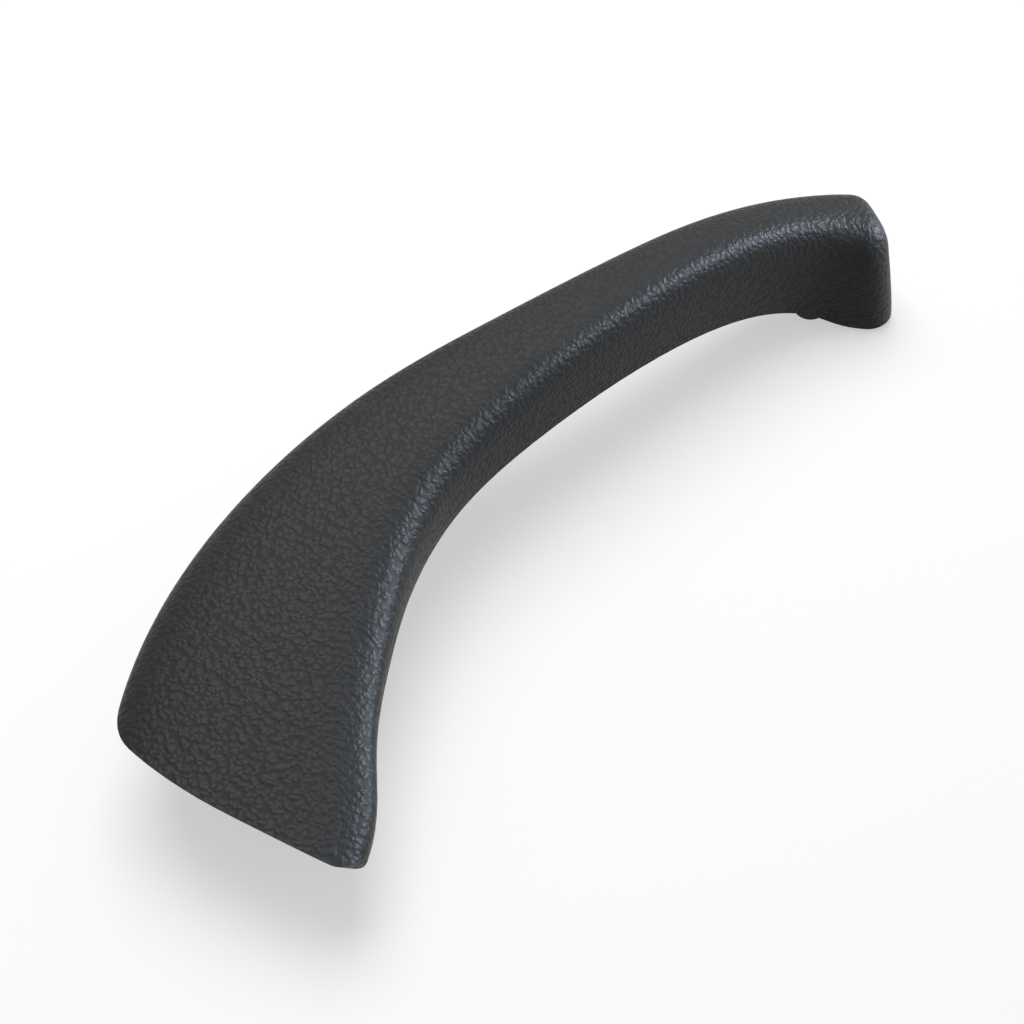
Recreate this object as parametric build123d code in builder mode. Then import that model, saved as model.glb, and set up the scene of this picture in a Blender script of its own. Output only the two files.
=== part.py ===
from build123d import *

import os
from math import atan2, cos, pi, radians, sin
from typing import NamedTuple

# A fixed pull handle for the inside of a car door, in millimetres. The door panel's face is z = 0 and Z
# points into the car. X runs from the screw under the broad tongue to the screw under the narrow leg, and
# the origin is midway between those two screws. The grip bows out towards +Y.

# Mounting screws: two under the tongue, one under the leg
SCREW_SPACING = 268.0
SCREW_PITCH = 50.0

# Spine of the grip, seen from above: its corners from the nearer screw, and the bends that round them
TAIL_X = -57.8
TAIL_Y = -6.9
FLARE_CORNER_X = 43.6
FLARE_CORNER_Y = 61.8
FLARE_BEND_RADIUS = 174.0
GRIP_CORNER_X = -86.0
GRIP_CORNER_Y = 32.5
GRIP_BEND_RADIUS = 1300.0
LEG_CORNER_X = -4.8
LEG_CORNER_Y = 10.5
LEG_BEND_RADIUS = 52.0
NOSE_X = 23.2
NOSE_Y = -29.6


class Station(NamedTuple):
    """A section across the grip: how far along the spine it stands, and its sizes there."""

    along: float
    width: float
    crest: float
    depth: float
    squareness: float

    @property
    def hem(self):
        """Height of the lower edge."""
        return self.crest - self.depth


# Sections from the tongue to the nose. The crest is the height of the top, and the depth hangs from it. A
# squareness of 2 gives an ellipse, and more gives it fuller shoulders.
TAIL = Station(along=0.000, width=67.0, crest=33.5, depth=12.5, squareness=2.8)
TONGUE = Station(along=0.122, width=77.4, crest=40.0, depth=16.2, squareness=2.8)
FLARE = Station(along=0.226, width=71.8, crest=46.0, depth=20.0, squareness=2.9)
THROAT = Station(along=0.330, width=59.2, crest=51.8, depth=25.0, squareness=3.2)
NECK = Station(along=0.433, width=46.0, crest=56.5, depth=28.0, squareness=3.6)
ARCH = Station(along=0.551, width=35.4, crest=59.5, depth=29.3, squareness=3.9)
GRIP = Station(along=0.682, width=28.6, crest=59.6, depth=31.3, squareness=3.9)
WAIST = Station(along=0.795, width=26.6, crest=56.1, depth=35.2, squareness=3.6)
LEG = Station(along=0.898, width=28.2, crest=49.3, depth=41.4, squareness=3.2)
NOSE = Station(along=1.000, width=29.0, crest=41.2, depth=37.2, squareness=2.9)
STATIONS = [TAIL, TONGUE, FLARE, THROAT, NECK, ARCH, GRIP, WAIST, LEG, NOSE]

# Where each section is widest, as a share of its depth, and the points that draw its curve
BELLY = 0.68
CURVE_POINTS = 17

# Rim of the tongue: curled at the heel, straight, then bowed and curled at the outer corner, leaning in below
RIM_X = -37.5
RIM_Y = 5.0
RIM_ANGLE = 98.4
RIM_LENGTH = 31.5
RIM_HEEL_RADIUS = 5.0
RIM_HEEL_TURN = 75.0
RIM_BOW_RADIUS = 180.0
RIM_BOW_TURN = 12.0
RIM_CORNER_RADIUS = 18.0
RIM_CORNER_TURN = 55.0
RIM_LEAN = 30.0
RIM_LEVEL = 33.0

# Nose: cut back from the end of the spine, askew and leaning out below, with its edges rolled
NOSE_TRIM = 7.4
NOSE_SKEW = 22.0
NOSE_LEAN = 10.0
NOSE_ROLL = 9.5

# Cover: a moulded skin with its lower edge returned under the carrier
COVER_WALL = 2.6
HEM_RETURN = 1.5
HEM_THICKNESS = 2.0
MOUTH_CORNER_RADIUS = 3.5

# Carrier: a ribbed channel inside the cover
CARRIER_FIT = 0.25
CHANNEL_WALL = 2.8
CHANNEL_FLOOR = 3.0
SOLE_RECESS = 0.4
RIB_THICKNESS = 2.0
RIB_COUNT = 10
RIBS_START = 0.245
RIBS_END = 0.875

# Underside of the tongue: cored from below round the foot, with ribs of its own
CORE_DEPTH = 7.0
TONGUE_RIB_COUNT = 4
TONGUE_RIBS_START = 0.08
TONGUE_RIBS_END = 0.215

# Feet of the carrier and the threaded inserts in them
FOOT_RADIUS = 5.6
FOOT_DRAFT = 0.5
INSERT_RADIUS = 3.5
INSERT_LENGTH = 10.0
INSERT_FIT = 0.05
THREAD_CORE_RADIUS = 2.1
RUNOUT_RADIUS = 2.75
RUNOUT_LENGTH = 6.0
RUNOUT_ROOF = 3.0

# Screws that hold the cover to the carrier, driven up through the tongue's foot
COVER_SCREW_PITCH = 18.0
COVER_SCREW_RADIUS = 2.0
COVER_SCREW_LENGTH = 11.0
COVER_SCREW_POINT = 1.5
HEAD_RADIUS = 3.5
HEAD_HEIGHT = 2.8
HEAD_CLEARANCE = 0.4
SOCKET_RADIUS = 1.6
SOCKET_DEPTH = 1.6
SHANK_CLEARANCE = 0.2
THREAD_FIT = 0.05
BOSS_RADIUS = 4.2
BOSS_FLOOR = 5.0
BOSS_BORE_SPARE = 0.8

# Reach of cutting shapes, past everything that they cut
REACH = 400.0

near_x = -SCREW_SPACING / 2
far_x = SCREW_SPACING / 2
mounting_points = [(near_x, 0), (near_x, SCREW_PITCH), (far_x, 0)]
foot_centre = (near_x, SCREW_PITCH / 2)
cover_screw_points = [
    (near_x, SCREW_PITCH / 2 - COVER_SCREW_PITCH / 2),
    (near_x, SCREW_PITCH / 2 + COVER_SCREW_PITCH / 2),
]

# Insets from the outside of the cover, and levels above its hem, that nest one piece in the next
carrier_inset = COVER_WALL + CARRIER_FIT
mouth_inset = COVER_WALL + HEM_RETURN
sole_inset = mouth_inset + CARRIER_FIT
carrier_lift = HEM_THICKNESS + CARRIER_FIT
channel_inset = carrier_inset + CHANNEL_WALL
channel_lift = carrier_lift + CHANNEL_FLOOR

# Depth of a section below its belly, as a share of its rise above it
belly_drop = (1 - BELLY) / BELLY

# Heights in the tongue's foot: the floor that the screw heads pull on, and the cover's bosses above it
foot_roof = TONGUE.hem + carrier_lift
foot_top = foot_roof + CHANNEL_FLOOR / 2
boss_floor = foot_roof + BOSS_FLOOR
runout_depth = INSERT_LENGTH + RUNOUT_LENGTH

with BuildLine() as spine:
    FilletPolyline(
        (near_x + TAIL_X, TAIL_Y),
        (near_x + FLARE_CORNER_X, FLARE_CORNER_Y),
        (far_x + GRIP_CORNER_X, GRIP_CORNER_Y),
        (far_x + LEG_CORNER_X, LEG_CORNER_Y),
        (far_x + NOSE_X, NOSE_Y),
        radius=(FLARE_BEND_RADIUS, GRIP_BEND_RADIUS, LEG_BEND_RADIUS),
    )
spine_path = spine.wires()[0]


def section_plane(along):
    """Upright plane square to the spine. Its x points to the outer side of the bow and its y up."""
    heading = spine_path % along
    return Plane(origin=spine_path @ along, x_dir=(-heading.Y, heading.X, 0), z_dir=heading)


def hem_share(squareness):
    """Width of a section at its hem, as a share of its width at the belly."""
    return (1 - belly_drop**squareness) ** (1 / squareness)


def nose_plane(inset):
    """Plane that the nose ends on, inset from the outside of the cover."""
    cut = section_plane(NOSE.along).offset(-NOSE_TRIM)
    level = cut.z_dir.rotate(Axis.Z, NOSE_SKEW) * cos(radians(NOSE_LEAN))
    return Plane(origin=cut.origin, z_dir=level + Vector(0, 0, sin(radians(NOSE_LEAN)))).offset(-inset)


def end_trim(inset):
    """The space between the rim and the nose, inset from the outside of the cover at both."""
    rim_start = Vector(near_x + RIM_X, RIM_Y)
    rim_heading = Vector(1, 0, 0).rotate(Axis.Z, RIM_ANGLE)
    inward = rim_heading.rotate(Axis.Z, -90)
    lean = inward * sin(radians(RIM_LEAN)) - Vector(0, 0, cos(radians(RIM_LEAN)))
    with BuildPart() as space:
        with BuildSketch(Plane.XY.offset(RIM_LEVEL)):
            with BuildLine():
                rim = Line(rim_start - rim_heading * RIM_LENGTH, rim_start)
                heel = JernArc(rim @ 0, rim_heading * -1, RIM_HEEL_RADIUS, RIM_HEEL_TURN)
                bow = JernArc(rim @ 1, rim_heading, RIM_BOW_RADIUS, -RIM_BOW_TURN)
                corner = JernArc(bow @ 1, bow % 1, RIM_CORNER_RADIUS, -RIM_CORNER_TURN)
                heel_end = (heel @ 1) + (heel % 1) * REACH
                corner_end = (corner @ 1) + (corner % 1) * REACH
                Polyline(heel @ 1, heel_end, (2 * REACH, -REACH), (2 * REACH, REACH), corner_end, corner @ 1)
            make_face()
            if inset:
                offset(amount=-inset, kind=Kind.INTERSECTION)
        extrude(amount=REACH / 4, dir=lean, both=True)
        split(bisect_by=nose_plane(inset), keep=Keep.BOTTOM)
    return space.part


def nose_cap(form, inset):
    """The flat end face that the trim leaves at the nose."""
    return form.faces().filter_by(GeomType.PLANE).sort_by_distance(nose_plane(inset).origin)[0]


def section_curve(half, crest, depth, squareness):
    """A superellipse, widest part of the way down, from the hem over the crest to the hem."""
    rise = depth * BELLY
    angle_below = atan2(belly_drop, hem_share(squareness))
    points = []
    shares = [step / (CURVE_POINTS - 1) for step in range(CURVE_POINTS)]
    for share in shares:
        angle = (pi + 2 * angle_below) * share - angle_below
        reach = (abs(cos(angle)) ** squareness + abs(sin(angle)) ** squareness) ** (-1 / squareness)
        points.append((half * reach * cos(angle), crest - rise + rise * reach * sin(angle)))
    return Edge.make_spline(points, parameters=shares)


def grip_form(inset, hem_lift):
    """The whole outside of the grip as one lofted solid, taken in by an inset all round."""
    with BuildPart() as form:
        for station in STATIONS:
            half = station.width / 2 - inset
            depth = station.depth - inset - hem_lift
            with BuildSketch(section_plane(station.along)):
                with BuildLine() as outline:
                    add(section_curve(half, station.crest - inset, depth, station.squareness))
                    Line(outline.vertices()[-1], outline.vertices()[0])
                make_face()
        loft()
        add(end_trim(inset), mode=Mode.INTERSECT)
        fillet(nose_cap(form, inset).edges().sort_by(Axis.Z)[1:], NOSE_ROLL - inset)
    return form.part


def hem_form(inset, low, high):
    """A band as wide as the grip's lower edge, between two heights above the hem."""
    with BuildPart() as form:
        for station in STATIONS:
            half = station.width / 2 * hem_share(station.squareness) - inset
            with BuildSketch(section_plane(station.along)):
                with Locations((0, station.hem + (low + high) / 2)):
                    Rectangle(2 * half, high - low)
        loft()
        add(end_trim(inset), mode=Mode.INTERSECT)
        upright_edges = nose_cap(form, inset).edges().sort_by(lambda edge: abs((edge % 0.5).Z))[-2:]
        fillet(upright_edges, MOUTH_CORNER_RADIUS + mouth_inset - inset)
    return form.part


def rib_planes(count, start, end):
    """Planes square to the spine, evenly spaced from start to end."""
    return [section_plane(start + (end - start) * rib / (count - 1)) for rib in range(count)]


outside = grip_form(0, 0)
cavity = grip_form(COVER_WALL, HEM_THICKNESS)
mouth = hem_form(mouth_inset, -2 * HEM_THICKNESS, 2 * HEM_THICKNESS)

# Bosses inside the cover for its screws, cut off by the outside of the cover
with BuildPart() as screw_bosses:
    with BuildSketch(Plane.XY.offset(boss_floor + CARRIER_FIT)):
        with Locations(*cover_screw_points):
            Circle(BOSS_RADIUS)
    extrude(amount=REACH)
    add(outside, mode=Mode.INTERSECT)

# Grained cover that the hand holds
with BuildPart() as grip_cover:
    add(outside)
    add(cavity, mode=Mode.SUBTRACT)
    add(mouth, mode=Mode.SUBTRACT)
    add(screw_bosses.part)
    with BuildSketch(Plane.XY.offset(foot_roof)):
        with Locations(*cover_screw_points):
            Circle(COVER_SCREW_RADIUS + THREAD_FIT)
    extrude(amount=COVER_SCREW_LENGTH + BOSS_BORE_SPARE, mode=Mode.SUBTRACT)

carrier_body = grip_form(carrier_inset, carrier_lift)
carrier_sole = hem_form(sole_inset, SOLE_RECESS, carrier_lift + CHANNEL_FLOOR / 2)
tongue_end = section_plane(RIBS_START)

# Hollow of the grip, open towards the cover and broken by cross ribs that are left standing
with BuildPart() as grip_pockets:
    add(hem_form(channel_inset, channel_lift, REACH / 4))
    split(bisect_by=tongue_end, keep=Keep.TOP)
    with BuildSketch(*rib_planes(RIB_COUNT, RIBS_START, RIBS_END)):
        Rectangle(REACH, REACH)
    extrude(amount=RIB_THICKNESS / 2, both=True, mode=Mode.SUBTRACT)

# Hollow of the tongue, open below, with cross ribs, a rib along it and the column of the foot left standing
with BuildPart() as tongue_pockets:
    add(hem_form(channel_inset, -HEM_THICKNESS, CORE_DEPTH))
    split(bisect_by=tongue_end, keep=Keep.BOTTOM)
    with BuildSketch(*rib_planes(TONGUE_RIB_COUNT, TONGUE_RIBS_START, TONGUE_RIBS_END)):
        Rectangle(REACH, REACH)
    extrude(amount=RIB_THICKNESS / 2, both=True, mode=Mode.SUBTRACT)
    with BuildSketch(Plane(origin=tongue_end.origin, z_dir=section_plane(TAIL.along).x_dir)):
        Rectangle(REACH, REACH)
    extrude(amount=RIB_THICKNESS / 2, both=True, mode=Mode.SUBTRACT)
    with BuildSketch():
        with Locations(foot_centre):
            SlotCenterToCenter(SCREW_PITCH, 2 * (FOOT_RADIUS + RIB_THICKNESS), rotation=90)
    extrude(amount=REACH, mode=Mode.SUBTRACT)

# Stiff carrier inside the cover, with the feet that stand on the door
with BuildPart() as handle_carrier:
    add(carrier_body)
    add(carrier_sole)
    add(grip_pockets.part, mode=Mode.SUBTRACT)
    add(tongue_pockets.part, mode=Mode.SUBTRACT)
    with BuildSketch():
        with Locations(foot_centre):
            SlotCenterToCenter(SCREW_PITCH, 2 * FOOT_RADIUS, rotation=90)
    extrude(amount=foot_top, taper=-FOOT_DRAFT)
    with BuildSketch():
        with Locations(mounting_points[-1]):
            Circle(FOOT_RADIUS)
    extrude(amount=runout_depth + RUNOUT_ROOF, taper=-FOOT_DRAFT)
    with BuildSketch():
        with Locations(foot_centre):
            SlotCenterToCenter(COVER_SCREW_PITCH, 2 * (HEAD_RADIUS + HEAD_CLEARANCE), rotation=90)
    extrude(amount=foot_roof, mode=Mode.SUBTRACT)
    with BuildSketch(Plane.XY.offset(boss_floor)):
        with Locations(*cover_screw_points):
            Circle(BOSS_RADIUS + CARRIER_FIT)
    extrude(amount=REACH, mode=Mode.SUBTRACT)
    with Locations(*mounting_points):
        Cylinder(RUNOUT_RADIUS, 2 * runout_depth, mode=Mode.SUBTRACT)
        Cylinder(INSERT_RADIUS + INSERT_FIT, 2 * INSERT_LENGTH, mode=Mode.SUBTRACT)
    with Locations(*cover_screw_points):
        Cylinder(COVER_SCREW_RADIUS + SHANK_CLEARANCE, 2 * boss_floor + CARRIER_FIT, mode=Mode.SUBTRACT)

# Brass inserts, flush with the soles of the feet
with BuildPart() as thread_inserts:
    with BuildSketch():
        with Locations(*mounting_points):
            Circle(INSERT_RADIUS)
            Circle(THREAD_CORE_RADIUS, mode=Mode.SUBTRACT)
    extrude(amount=INSERT_LENGTH)

# Thread-forming screws with a socket in the head, which faces the door
with BuildPart() as cover_screws:
    for x, y in cover_screw_points:
        with BuildSketch(Plane(origin=(x, y, foot_roof), x_dir=(1, 0, 0), z_dir=(0, -1, 0))):
            with BuildLine():
                Polyline(
                    (0, -HEAD_HEIGHT),
                    (HEAD_RADIUS - HEAD_HEIGHT / 2, -HEAD_HEIGHT),
                    (HEAD_RADIUS, -HEAD_HEIGHT / 2),
                    (HEAD_RADIUS, 0),
                    (COVER_SCREW_RADIUS, 0),
                    (COVER_SCREW_RADIUS, COVER_SCREW_LENGTH - COVER_SCREW_POINT),
                    (0, COVER_SCREW_LENGTH),
                    close=True,
                )
            make_face()
        revolve(axis=Axis((x, y, 0), (0, 0, 1)))
    with BuildSketch(Plane.XY.offset(foot_roof - HEAD_HEIGHT)):
        with Locations(*cover_screw_points):
            RegularPolygon(SOCKET_RADIUS, 6)
    extrude(amount=SOCKET_DEPTH, mode=Mode.SUBTRACT)

os.makedirs("parts", exist_ok=True)
pieces = {
    "grip_cover": grip_cover,
    "handle_carrier": handle_carrier,
    "thread_inserts": thread_inserts,
    "cover_screws": cover_screws,
}
for name, piece in pieces.items():
    piece.part.label = name
    export_step(piece.part, f"parts/{name}.step")
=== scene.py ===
# %% [markdown]
# # A grained pull handle from the inside of a car door
# This lesson dresses a imported CAD model. The shapes come from the CAD file and stay as they are. What is
# added here is the skin of each piece, the threads in the brass inserts, the light and the camera.
# The first step loads the model.

# %% Load the handle
from math import cos, pi, radians, sin

import bpy
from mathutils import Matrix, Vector


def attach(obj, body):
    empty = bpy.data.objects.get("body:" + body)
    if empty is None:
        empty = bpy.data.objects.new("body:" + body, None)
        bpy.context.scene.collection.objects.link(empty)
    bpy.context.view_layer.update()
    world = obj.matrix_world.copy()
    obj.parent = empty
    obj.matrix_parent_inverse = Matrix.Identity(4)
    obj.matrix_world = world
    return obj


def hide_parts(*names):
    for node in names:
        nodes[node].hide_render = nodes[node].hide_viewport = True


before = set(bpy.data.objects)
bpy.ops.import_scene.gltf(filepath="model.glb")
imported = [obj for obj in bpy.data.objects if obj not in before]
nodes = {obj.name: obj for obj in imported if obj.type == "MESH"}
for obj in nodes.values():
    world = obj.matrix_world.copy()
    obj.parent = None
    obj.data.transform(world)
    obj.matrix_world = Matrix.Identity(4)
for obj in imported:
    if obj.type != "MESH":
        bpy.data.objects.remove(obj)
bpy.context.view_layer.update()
scene = bpy.context.scene
print("pieces:", sorted(nodes))

# %% [markdown]
# ## The camera
# The handle lies on a table, seen from the side of the hollow of its bow and from well above. A camera
# could be turned by hand until it looks right. Here it is placed by the point that lies in the middle of
# the picture, the way it heads, the angle it looks down at and its distance, because those can be read
# and changed one by one.

# %% Place the camera
AIM = Vector((-0.0323, 0.0141, 0.0273))
HEADING = Vector((0.792, 0.610, 0)).normalized()
LOOK_DOWN = radians(50)
DISTANCE = 0.5824
camera_data = bpy.data.cameras.new("photo_camera")
camera_data.sensor_width = 36
camera_data.lens = 63.28
camera_data.clip_start = 0.01
camera = bpy.data.objects.new("photo_camera", camera_data)
scene.collection.objects.link(camera)
sight = HEADING * cos(LOOK_DOWN) - Vector((0, 0, sin(LOOK_DOWN)))
camera.location = AIM - sight * DISTANCE
camera.rotation_euler = sight.to_track_quat("-Z", "Y").to_euler()
scene.camera = camera
print("camera stands at", [round(value, 3) for value in camera.location])

# %% [markdown]
# ## A short way to write shader nodes
# Each finish below is a small network of nodes. Every node takes three lines when it is written out: make
# it, set it, join it up. The first helper does all three. An input that is given a socket is joined to it,
# and an input that is given a number or a colour keeps that as its own value. The others are for the two
# kinds of node that come up most, sums of numbers and sums of vectors, and for groups.

# %% Define the node helpers
def add_node(tree, kind, inputs=None, **settings):
    """Adds a node to a tree, with its settings, and sets its inputs or joins them to other nodes' sockets."""
    node = tree.nodes.new(kind)
    for name, value in settings.items():
        setattr(node, name, value)
    for name, value in (inputs or {}).items():
        if isinstance(value, bpy.types.NodeSocket):
            tree.links.new(value, node.inputs[name])
        else:
            node.inputs[name].default_value = value
    return node


def add_math(tree, operation, *values):
    """Adds a sum of numbers and returns its result."""
    return add_node(tree, "ShaderNodeMath", dict(enumerate(values)), operation=operation).outputs["Value"]


def add_vector_math(tree, operation, *values):
    """Adds a sum of vectors and returns its result, which is a number for a length or a dot product."""
    node = add_node(tree, "ShaderNodeVectorMath", dict(enumerate(values)), operation=operation)
    return node.outputs["Value" if operation in ("LENGTH", "DOT_PRODUCT") else "Vector"]


def new_group(name, inputs, outputs):
    """Makes a shader node group with named sockets. Returns the group and the nodes at its two ends."""
    group = bpy.data.node_groups.new(name, "ShaderNodeTree")
    for label, kind in inputs.items():
        group.interface.new_socket(label, in_out="INPUT", socket_type=kind)
    for label, kind in outputs.items():
        group.interface.new_socket(label, in_out="OUTPUT", socket_type=kind)
    return group, group.nodes.new("NodeGroupInput"), group.nodes.new("NodeGroupOutput")


print("node helpers ready")

# %% [markdown]
# ## Moulded leather grain
# The steel mould of such a cover is etched with a leather pattern: low uneven pebbles with soft creases
# between them. A photograph of leather could be wrapped round the handle, but it would show seams and
# stretch where the section changes. Voronoi cells need no wrapping. Cells in space would be cut lengthwise
# here and there and leave smears, so flat cells are laid on three planes, and each part of the skin takes
# the plane that it faces. A slow noise bends the cells first, so that no crease is straight, and the smooth
# kind of Voronoi rounds them. The group gives the height for a bump, a mask of the pebbles' crests and a
# tone for each pebble.

# %% Lay out the cells
BEND_SCALE = 0.6
NOISE_MIDDLE = (0.5, 0.5, 0.5)
grain, grain_in, grain_out = new_group(
    "moulded_grain",
    {
        "Place": "NodeSocketVector",
        "Facing": "NodeSocketVector",
        "Cells per Metre": "NodeSocketFloat",
        "Wander": "NodeSocketFloat",
        "Softness": "NodeSocketFloat",
    },
    {"Height": "NodeSocketFloat", "Crest": "NodeSocketFloat", "Tone": "NodeSocketFloat"},
)
given = grain_in.outputs
cell_place = add_vector_math(grain, "MULTIPLY", given["Place"], given["Cells per Metre"])
bend_noise = add_node(grain, "ShaderNodeTexNoise", {"Vector": cell_place, "Scale": BEND_SCALE, "Detail": 2.0})
bend = add_vector_math(grain, "SUBTRACT", bend_noise.outputs["Color"], NOISE_MIDDLE)
bent_place = add_vector_math(grain, "MULTIPLY_ADD", bend, given["Wander"], cell_place)
print("cells are laid out by", len(grain.nodes), "nodes so far")

# %% Weigh the three planes by how squarely the skin faces them
SQUARINGS = 3
squareness = given["Facing"]
for squaring in range(SQUARINGS):
    squareness = add_vector_math(grain, "MULTIPLY", squareness, squareness)
squareness_sum = add_vector_math(grain, "DOT_PRODUCT", squareness, (1, 1, 1))
plane_weights = add_vector_math(grain, "DIVIDE", squareness, squareness_sum)
print("weights come from the normal, squared", SQUARINGS, "times")

# %% Draw the cells on each plane
axes = add_node(grain, "ShaderNodeSeparateXYZ", {"Vector": bent_place}).outputs
hollows = []
tones = []
for across, up in [("Y", "Z"), ("X", "Z"), ("X", "Y")]:
    flat_place = add_node(grain, "ShaderNodeCombineXYZ", {"X": axes[across], "Y": axes[up]})
    cell = add_node(
        grain,
        "ShaderNodeTexVoronoi",
        {"Vector": flat_place.outputs["Vector"], "Scale": 1.0, "Smoothness": given["Softness"]},
        voronoi_dimensions="2D",
        feature="SMOOTH_F1",
    )
    cell_tone = add_node(grain, "ShaderNodeSeparateColor", {"Color": cell.outputs["Color"]})
    hollows.append(cell.outputs["Distance"])
    tones.append(cell_tone.outputs["Green"])


def weigh_planes(values):
    """Adds up the values of the three planes by their weights."""
    together = add_node(grain, "ShaderNodeCombineXYZ", dict(zip("XYZ", values)))
    return add_vector_math(grain, "DOT_PRODUCT", together.outputs["Vector"], plane_weights)


print("planes:", len(hollows))

# %% Round the cells into pebbles
CREST_EDGE = 0.08
CREASE_EDGE = 0.76
PORE_SCALE = 2.0
PORE_HEIGHT = 0.5
crest = add_node(
    grain,
    "ShaderNodeMapRange",
    {
        "Value": weigh_planes(hollows),
        "From Min": CREST_EDGE,
        "From Max": CREASE_EDGE,
        "To Min": 1.0,
        "To Max": 0.0,
    },
    interpolation_type="SMOOTHSTEP",
).outputs["Result"]
pores = add_node(grain, "ShaderNodeTexNoise", {"Vector": cell_place, "Scale": PORE_SCALE, "Detail": 3.0})
grain_height = add_math(grain, "MULTIPLY_ADD", pores.outputs["Fac"], PORE_HEIGHT, crest)
grain.links.new(grain_height, grain_out.inputs["Height"])
grain.links.new(crest, grain_out.inputs["Crest"])
grain.links.new(weigh_planes(tones), grain_out.inputs["Tone"])
print("grain group:", len(grain.nodes), "nodes")

# %% [markdown]
# ## What all the finishes share
# Every finish is a Principled shader that takes its colour, its roughness and its normal from a network.
# Each could be wired by hand. The helpers below start a finish, spread a value between two colours or two
# numbers, turn a height into a normal and join the three results to the shader, so that a finish is left
# with only what makes it different.

# %% Define the finish helpers
def new_finish(name):
    """Makes a material. Returns it with its tree, its shader and the object's own coordinates."""
    finish = bpy.data.materials.new(name)
    finish.use_nodes = True
    tree = finish.node_tree
    place = add_node(tree, "ShaderNodeTexCoord").outputs["Object"]
    return finish, tree, tree.nodes["Principled BSDF"], place


def add_ramp(tree, share, low, high):
    """Turns a value from 0 to 1 into a colour between two colours."""
    ramp = add_node(tree, "ShaderNodeValToRGB", {"Fac": share})
    ramp.color_ramp.elements[0].color = (*low, 1)
    ramp.color_ramp.elements[1].color = (*high, 1)
    return ramp.outputs["Color"]


def add_range(tree, share, low, high):
    """Turns a value from 0 to 1 into a value between two numbers."""
    spread = add_node(tree, "ShaderNodeMapRange", {"Value": share, "To Min": low, "To Max": high})
    return spread.outputs["Result"]


def add_bump(tree, height, strength, depth):
    """Turns a height from 0 to 1 into a normal, for a relief of that depth in metres."""
    bump = add_node(tree, "ShaderNodeBump", {"Height": height, "Strength": strength, "Distance": depth})
    return bump.outputs["Normal"]


def join_to_shader(tree, shader, colour, roughness, normal):
    """Gives a shader its colour, roughness and normal."""
    tree.links.new(colour, shader.inputs["Base Color"])
    tree.links.new(roughness, shader.inputs["Roughness"])
    tree.links.new(normal, shader.inputs["Normal"])


print("finish helpers ready")

# %% [markdown]
# ## The cover
# The cover is a soft black plastic skin with a satin shine. It could be one dark colour with a bump, but
# then the creases would shine as the pebbles do. On the real cover hands rub the crests a little smoother,
# and each pebble is a little lighter or darker than the next. So the colour is a tone for each pebble, with
# painted shade in the creases and painted shade on the side walls, which are darker than the top as if
# lit from above.

# %% Make the cover's finish
DARK_PEBBLE = (0.0112, 0.0113, 0.0112)
LIGHT_PEBBLE = (0.0152, 0.0153, 0.0152)
# Painted shade in the creases: their colour is darkened to this share.
CREASE_SHADE = 0.72
# Painted shade on the side walls: faces that don't point up are darkened to this share, so the top looks lit
# from above.
PAINTED_WALL_SHADE = 0.35
COVER_RELIEF = 0.00016
cover_finish, cover_tree, cover_skin, cover_place = new_finish("grained_cover")
cover_facing = add_node(cover_tree, "ShaderNodeNewGeometry").outputs["Normal"]
pebbles = add_node(
    cover_tree,
    "ShaderNodeGroup",
    {
        "Place": cover_place,
        "Facing": cover_facing,
        "Cells per Metre": 540,
        "Wander": 1.6,
        "Softness": 0.2,
    },
    node_tree=grain,
).outputs
pebble_colour = add_ramp(cover_tree, pebbles["Tone"], DARK_PEBBLE, LIGHT_PEBBLE)
# Painted shade: the creases are darker than the crests.
painted_crease_shade = add_range(cover_tree, pebbles["Crest"], CREASE_SHADE, 1.0)
# Painted shade: the less a face points up, the darker it is, so the walls are darker than the top.
facing_up = add_node(cover_tree, "ShaderNodeSeparateXYZ", {"Vector": cover_facing}).outputs["Z"]
painted_wall_shade = add_range(cover_tree, facing_up, PAINTED_WALL_SHADE, 1.0)
cover_shade = add_math(cover_tree, "MULTIPLY", painted_crease_shade, painted_wall_shade)
join_to_shader(
    cover_tree,
    cover_skin,
    add_vector_math(cover_tree, "MULTIPLY", pebble_colour, cover_shade),
    add_range(cover_tree, pebbles["Crest"], 0.55, 0.4),
    add_bump(cover_tree, pebbles["Height"], 1.0, COVER_RELIEF),
)
cover_skin.inputs["Specular IOR Level"].default_value = 0.2
print("cover:", len(cover_tree.nodes), "nodes")

# %% [markdown]
# ## The carrier
# The carrier is a stiff moulding of glass-filled plastic. Its mould was spark eroded, which leaves a fine
# even sand on every face, and the glass shows as a faint cloudy grey. A noise would do for the sand, but
# the grain group is there already, and its pebbles read as sand when they are tiny. The clouds are one
# slow noise.

# %% Make the carrier's finish
DARK_CLOUD = (0.016, 0.016, 0.017)
LIGHT_CLOUD = (0.036, 0.036, 0.037)
CLOUDS_PER_METRE = 60.0
SAND_RELIEF = 0.00008
carrier_finish, carrier_tree, carrier_skin, carrier_place = new_finish("carrier_plastic")
carrier_facing = add_node(carrier_tree, "ShaderNodeNewGeometry").outputs["Normal"]
sand = add_node(
    carrier_tree,
    "ShaderNodeGroup",
    {
        "Place": carrier_place,
        "Facing": carrier_facing,
        "Cells per Metre": 2200,
        "Wander": 1.4,
        "Softness": 0.2,
    },
    node_tree=grain,
).outputs
clouds = add_node(
    carrier_tree, "ShaderNodeTexNoise", {"Vector": carrier_place, "Scale": CLOUDS_PER_METRE, "Detail": 4.0}
)
join_to_shader(
    carrier_tree,
    carrier_skin,
    add_ramp(carrier_tree, clouds.outputs["Fac"], DARK_CLOUD, LIGHT_CLOUD),
    add_range(carrier_tree, sand["Crest"], 0.72, 0.55),
    add_bump(carrier_tree, sand["Height"], 0.5, SAND_RELIEF),
)
print("carrier:", len(carrier_tree.nodes), "nodes")

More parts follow.
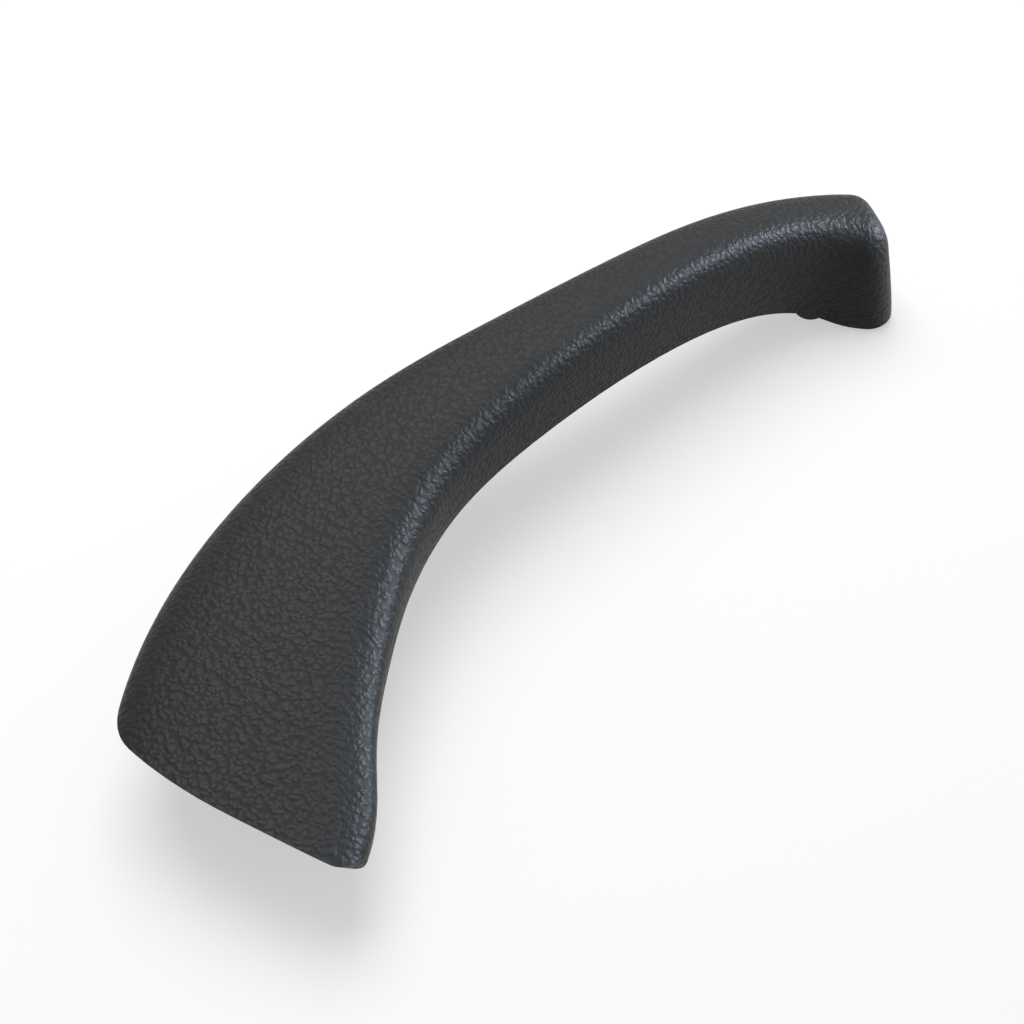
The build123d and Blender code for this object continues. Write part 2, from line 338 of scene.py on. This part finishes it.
# %% [markdown]
# ## Metal that has been handled
# Brass inserts and zinc-plated screws come out of a box, not off a polishing wheel: their shine is broken
# by dull clouds and by the fine rings of the lathe. Each could have its own network. Both metals use one
# group, because only their colours differ. It gives a cloud mask for colour and shine, and a height for
# the marks, which is a noise squeezed along the axis of the thread.

# %% Build the tarnish group
CLOUD_EDGES = {"From Min": 0.35, "From Max": 0.65}
MARKS_PER_METRE = (400, 400, 9000)
tarnish, tarnish_in, tarnish_out = new_group(
    "handled_metal",
    {"Place": "NodeSocketVector", "Clouds per Metre": "NodeSocketFloat"},
    {"Cloud": "NodeSocketFloat", "Marks": "NodeSocketFloat"},
)
metal_place = tarnish_in.outputs["Place"]
cloud_noise = add_node(
    tarnish,
    "ShaderNodeTexNoise",
    {"Vector": metal_place, "Scale": tarnish_in.outputs["Clouds per Metre"], "Detail": 5.0},
)
cloud = add_node(
    tarnish,
    "ShaderNodeMapRange",
    {"Value": cloud_noise.outputs["Fac"], **CLOUD_EDGES},
    interpolation_type="SMOOTHSTEP",
)
mark_place = add_vector_math(tarnish, "MULTIPLY", metal_place, MARKS_PER_METRE)
marks = add_node(tarnish, "ShaderNodeTexNoise", {"Vector": mark_place, "Scale": 1.0, "Detail": 2.0})
tarnish.links.new(cloud.outputs["Result"], tarnish_out.inputs["Cloud"])
tarnish.links.new(marks.outputs["Fac"], tarnish_out.inputs["Marks"])
print("tarnish group:", len(tarnish.nodes), "nodes")

# %% Make the two metals
TARNISH_PER_METRE = 500
MARK_RELIEF = 0.00003


def metal_finish(name, clean, dull, smooth, rough):
    """A metal that goes from a clean colour to a dull one, and from smooth to rough, in clouds."""
    finish, tree, metal, place = new_finish(name)
    handled = add_node(
        tree, "ShaderNodeGroup", {"Place": place, "Clouds per Metre": TARNISH_PER_METRE}, node_tree=tarnish
    ).outputs
    join_to_shader(
        tree,
        metal,
        add_ramp(tree, handled["Cloud"], clean, dull),
        add_range(tree, handled["Cloud"], smooth, rough),
        add_bump(tree, handled["Marks"], 0.25, MARK_RELIEF),
    )
    metal.inputs["Metallic"].default_value = 1.0
    return finish


brass_finish = metal_finish("insert_brass", (0.76, 0.57, 0.27), (0.52, 0.36, 0.16), smooth=0.24, rough=0.46)
steel_finish = metal_finish("screw_steel", (0.60, 0.61, 0.64), (0.46, 0.46, 0.44), smooth=0.22, rough=0.42)
print("metals:", brass_finish.name, steel_finish.name)

# %% [markdown]
# ## Dressing the CAD pieces
# The cover, the carrier and the screws keep their CAD meshes, which have the right shape. They could be
# copied and dressed, but then the same piece would be there twice. So each loses the plain material that it
# was loaded with and gets its own finish in that place. The plain inserts get theirs too, until the next
# step puts threaded ones where they are.

# %% Dress the CAD pieces
finishes = {
    "grip_cover": cover_finish,
    "handle_carrier": carrier_finish,
    "thread_inserts": brass_finish,
    "cover_screws": steel_finish,
}
for name, finish in finishes.items():
    nodes[name].data.materials.clear()
    nodes[name].data.materials.append(finish)
print("dressed:", sorted(finishes))

# %% [markdown]
# ## Threads in the brass inserts
# The CAD file keeps each insert as a plain ring, because a thread is many faces. Its bore is as wide as the
# thread's crests. A helix could be cut with a Screw modifier and a boolean, which is slow and leaves
# slivers. Here the bore is a tube of rings, and each point is moved out by where it stands on the thread:
# once round the tube, the wave climbs by one pitch. Rings of the same count close the outside, so each
# insert is one sealed skin.

# %% Shape the thread
INSERT_LENGTH = 0.010
INSERT_RADIUS = 0.0035
CREST_RADIUS = 0.0021
THREAD_DEPTH = 0.0004
THREAD_PITCH = 0.0008
FLANK_STEEPNESS = 2.4
CREST_FLAT = 0.7
MOUTH_RADIUS = 0.0027


def thread_radius(turn, height):
    """Radius of the bore at a share of a turn and a height, with a chamfer at the mouth."""
    climb = (height / THREAD_PITCH - turn) % 1
    wave = min(1, max(0, FLANK_STEEPNESS * abs(2 * climb - 1) - CREST_FLAT))
    return max(CREST_RADIUS + THREAD_DEPTH * wave, MOUTH_RADIUS - height)


print("thread depth in mm:", 1000 * THREAD_DEPTH)

# %% Stack the rings of one insert
RING_POINTS = 48
RINGS_PER_PITCH = 8
bore_rings = round(INSERT_LENGTH / THREAD_PITCH * RINGS_PER_PITCH)
turns = [point / RING_POINTS for point in range(RING_POINTS)]
rings = []
for step in range(bore_rings + 1):
    ring_height = INSERT_LENGTH * step / bore_rings
    rings.append([(thread_radius(turn, ring_height), ring_height) for turn in turns])
rings.append([(INSERT_RADIUS, INSERT_LENGTH)] * RING_POINTS)
rings.append([(INSERT_RADIUS, 0.0)] * RING_POINTS)
print("rings:", len(rings))

# %% Join the rings at each mounting screw
HALF_SPACING = 0.134
THIRD_SCREW = 0.05
mounting_screws = [(-HALF_SPACING, 0.0), (-HALF_SPACING, THIRD_SCREW), (HALF_SPACING, 0.0)]
points = []
faces = []
for x, y in mounting_screws:
    first = len(points)
    for ring in rings:
        for turn, (radius, height) in zip(turns, ring):
            angle = 2 * pi * turn
            points.append((x + radius * cos(angle), y + radius * sin(angle), height))
    for row in range(len(rings)):
        low = first + row * RING_POINTS
        high = first + (row + 1) % len(rings) * RING_POINTS
        for side in range(RING_POINTS):
            after = (side + 1) % RING_POINTS
            faces.append((low + side, high + side, high + after, low + after))
print("inserts:", len(mounting_screws), "with", len(faces), "faces")

# %% Put the inserts in place of the plain ones
SHARP_EDGE = radians(30)
insert_mesh = bpy.data.meshes.new("threaded_inserts")
insert_mesh.from_pydata(points, [], faces)
insert_mesh.shade_smooth()
insert_mesh.set_sharp_from_angle(angle=SHARP_EDGE)
insert_mesh.materials.append(brass_finish)
inserts = bpy.data.objects.new("threaded_inserts", insert_mesh)
scene.collection.objects.link(inserts)
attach(inserts, "root")
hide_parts("thread_inserts")
print("placed:", inserts.name)

# %% [markdown]
# ## The floor
# The handle lies on white paper that has no edge in the picture. White paper under plain light is never
# quite white in a picture, and more light would burn out the handle. So the paper keeps its own diffuse
# colour, which takes the shadow, and glows a little for the camera and for mirror-like surfaces only. Far
# out, where the lamps hardly reach, it glows more. From below it is clear, so that the underside of the
# handle can be looked at.

# %% Lay the floor
FLOOR_REACH = 4.0
corners = [(FLOOR_REACH * x, FLOOR_REACH * y, 0) for x, y in [(-1, -1), (1, -1), (1, 1), (-1, 1)]]
floor_mesh = bpy.data.meshes.new("floor")
floor_mesh.from_pydata(corners, [], [(0, 1, 2, 3)])
floor = bpy.data.objects.new("floor", floor_mesh)
scene.collection.objects.link(floor)
print("floor reaches", FLOOR_REACH, "m each way")


# %% Define who sees the white
def seen_directly(tree):
    """A mask of the rays that show the background: from the camera, off gloss and through glass."""
    rays = add_node(tree, "ShaderNodeLightPath").outputs
    shiny = add_math(tree, "MAXIMUM", rays["Is Glossy Ray"], rays["Is Transmission Ray"])
    return add_math(tree, "MAXIMUM", rays["Is Camera Ray"], shiny)


print("mask of the background ready")

# %% Make the paper's finish
PAPER_COLOUR = (0.66, 0.66, 0.66, 1)
WHITE = (1, 1, 1, 1)
NEAR_GLOW = 0.51
FAR_GLOW = 0.84
NEAR_EDGE = 0.5
FAR_EDGE = 2.5
paper_finish, paper_tree, paper, paper_place = new_finish("white_paper")
paper.inputs["Base Color"].default_value = PAPER_COLOUR
paper.inputs["Roughness"].default_value = 1.0
paper.inputs["Specular IOR Level"].default_value = 0.0
paper.inputs["Emission Color"].default_value = WHITE
glow = add_node(
    paper_tree,
    "ShaderNodeMapRange",
    {
        "Value": add_vector_math(paper_tree, "LENGTH", paper_place),
        "From Min": NEAR_EDGE,
        "From Max": FAR_EDGE,
        "To Min": NEAR_GLOW,
        "To Max": FAR_GLOW,
    },
)
seen_glow = add_math(paper_tree, "MULTIPLY", seen_directly(paper_tree), glow.outputs["Result"])
paper_tree.links.new(seen_glow, paper.inputs["Emission Strength"])
floor_mesh.materials.append(paper_finish)
print("paper glows from", NEAR_GLOW, "to", FAR_GLOW)

# %% Make the paper clear from below
from_below = add_node(paper_tree, "ShaderNodeNewGeometry").outputs["Backfacing"]
clear = add_node(paper_tree, "ShaderNodeBsdfTransparent")
one_way = add_node(
    paper_tree,
    "ShaderNodeMixShader",
    {"Fac": from_below, 1: paper.outputs["BSDF"], 2: clear.outputs["BSDF"]},
)
paper_tree.links.new(one_way.outputs["Shader"], paper_tree.nodes["Material Output"].inputs["Surface"])
print("paper:", len(paper_tree.nodes), "nodes")

# %% [markdown]
# ## The light
# The picture has soft light from a large panel overhead and behind the handle, and cool light from the
# right, which draws the shine along the inner shoulder and down the edge of the broad end. Larger lamps
# could draw that shine, but they would also wash out the shadow on the paper, and in a studio they would be
# screened from the table. So two small cool panels stand where the shoulder and the broad end mirror them,
# and they are linked to the pieces of the handle, so that they light nothing else. The world fills the
# shadows. It is white where the camera or a shiny surface looks at it, and dim where it lights the handle.

# %% Set the world
FILL_COLOUR = (1.0, 0.98, 0.98, 1)
FILL_STRENGTH = 0.24
world = bpy.data.worlds.new("studio")
scene.world = world
world.use_nodes = True
world_tree = world.node_tree
fill = world_tree.nodes["Background"]
fill.inputs["Color"].default_value = FILL_COLOUR
fill.inputs["Strength"].default_value = FILL_STRENGTH
white = add_node(world_tree, "ShaderNodeBackground", {"Color": WHITE, "Strength": 1.0})
sky = add_node(
    world_tree,
    "ShaderNodeMixShader",
    {"Fac": seen_directly(world_tree), 1: fill.outputs["Background"], 2: white.outputs["Background"]},
)
world_tree.links.new(sky.outputs["Shader"], world_tree.nodes["World Output"].inputs["Surface"])
scene.view_settings.view_transform = "Standard"
print("world fills with", FILL_STRENGTH)


# %% Hang the lamps
def hang_lamp(name, place, size, power, colour):
    """A square panel that shines at the middle of the picture."""
    data = bpy.data.lights.new(name, "AREA")
    data.energy = power
    data.size = size
    data.color = colour
    lamp = bpy.data.objects.new(name, data)
    lamp.location = place
    lamp.rotation_euler = (AIM - lamp.location).to_track_quat("-Z", "Y").to_euler()
    scene.collection.objects.link(lamp)
    return lamp


overhead = hang_lamp("overhead_panel", (0.27, 0.44, 1.18), size=1.0, power=11.2, colour=(1.0, 0.985, 0.985))
cool_side = hang_lamp("cool_panel", (0.38, -0.72, 0.72), size=0.35, power=3.2, colour=(0.66, 0.80, 1.0))
cool_back = hang_lamp("cool_back_panel", (0.78, -0.50, 0.38), size=0.4, power=17.0, colour=(0.72, 0.85, 1.0))
print("lamps:", overhead.name, cool_side.name, cool_back.name)

# %% Link the cool panels to the handle
handle_pieces = bpy.data.collections.new("handle_pieces")
for piece in [*nodes.values(), inserts]:
    handle_pieces.objects.link(piece)
for lamp in [cool_side, cool_back]:
    lamp.light_linking.receiver_collection = handle_pieces
